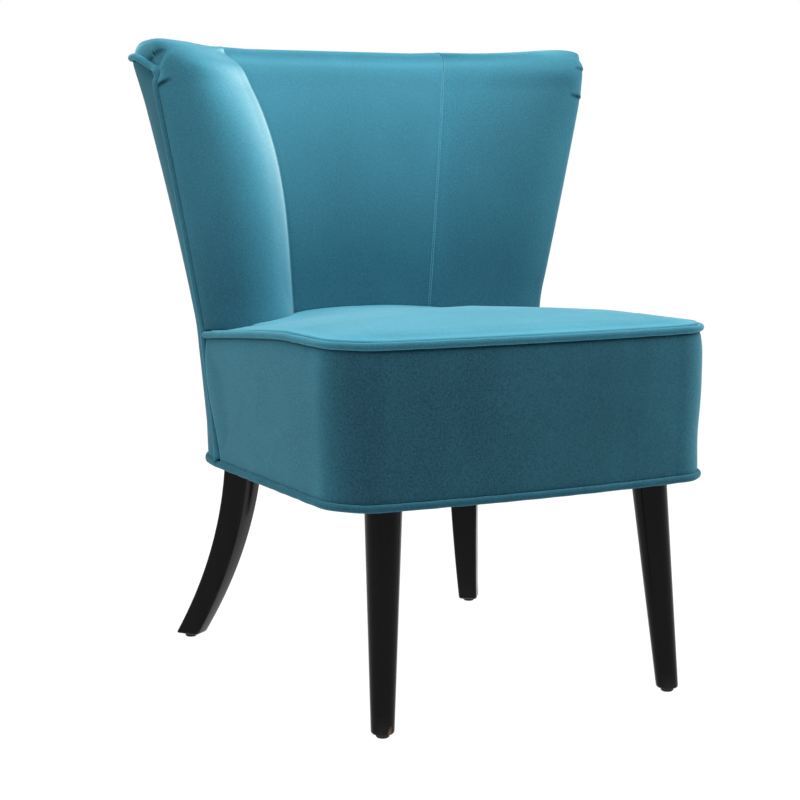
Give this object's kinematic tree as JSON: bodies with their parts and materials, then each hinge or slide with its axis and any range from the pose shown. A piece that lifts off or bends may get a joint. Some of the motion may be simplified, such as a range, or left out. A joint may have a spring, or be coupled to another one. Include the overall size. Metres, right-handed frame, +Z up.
{
  "type": "armless wingback chair",
  "caption": "Armless upholstered chair with a flared wrap-round back, a piped seat box, round tapered front legs and swept rear legs.",
  "frame": {"origin": "on the floor, under the middle of the chair's overall box", "axes": "+Z up, -Y the way the chair faces, +X to the right seen from the front"},
  "size_m": [0.6472, 0.6039, 0.7986],
  "materials": {
    "velvet": "soft cut pile with a strong sheen",
    "black_lacquer": "satin black lacquer",
    "frame_timber": "planed, unfinished",
    "zinc_steel": "zinc plated",
    "glide_plastic": "matte black",
    "foam": "open cell foam",
    "webbing": "woven elastic",
    "felt": "needled felt",
    "dust_cloth": "non-woven black cloth"
  },
  "bodies": {
    "root": {"back_bracket_left": "zinc_steel", "back_bracket_right": "zinc_steel", "back_centre_foam": "foam", "back_lower_rail": "frame_timber", "back_post_bolt_left": "zinc_steel", "back_post_bolt_right": "zinc_steel", "back_post_left": "frame_timber", "back_post_right": "frame_timber", "back_stile_left": "frame_timber", "back_stile_right": "frame_timber", "back_strap_1": "webbing", "back_strap_2": "webbing", "back_strap_3": "webbing", "back_top_rail": "frame_timber", "dust_cover": "dust_cloth", "front_corner_block_left": "frame_timber", "front_corner_block_right": "frame_timber", "front_leg_glide_left": "glide_plastic", "front_leg_glide_right": "glide_plastic", "front_leg_hanger_bolt_left": "zinc_steel", "front_leg_hanger_bolt_right": "zinc_steel", "front_leg_left": "black_lacquer", "front_leg_plate_left": "zinc_steel", "front_leg_plate_right": "zinc_steel", "front_leg_right": "black_lacquer", "inside_back_cover": "velvet", "outside_back_panel": "velvet", "outside_back_piping": "velvet", "rear_corner_block_left": "frame_timber", "rear_corner_block_right": "frame_timber", "rear_leg_glide_left": "glide_plastic", "rear_leg_glide_right": "glide_plastic", "rear_leg_hanger_bolt_left": "zinc_steel", "rear_leg_hanger_bolt_right": "zinc_steel", "rear_leg_left": "black_lacquer", "rear_leg_plate_left": "zinc_steel", "rear_leg_plate_right": "zinc_steel", "rear_leg_right": "black_lacquer", "seat_bottom_piping": "velvet", "seat_boxing": "velvet", "seat_cross_strap_1": "webbing", "seat_cross_strap_2": "webbing", "seat_cross_strap_3": "webbing", "seat_deck_felt": "felt", "seat_foam": "foam", "seat_front_rail": "frame_timber", "seat_left_rail": "frame_timber", "seat_long_strap_1": "webbing", "seat_long_strap_2": "webbing", "seat_long_strap_3": "webbing", "seat_long_strap_4": "webbing", "seat_rear_rail": "frame_timber", "seat_right_rail": "frame_timber", "seat_top_cover": "velvet", "seat_top_piping": "velvet", "wing_cover_left": "velvet", "wing_cover_right": "velvet", "wing_foam_left": "foam", "wing_foam_right": "foam"}
  },
  "joints": []
}
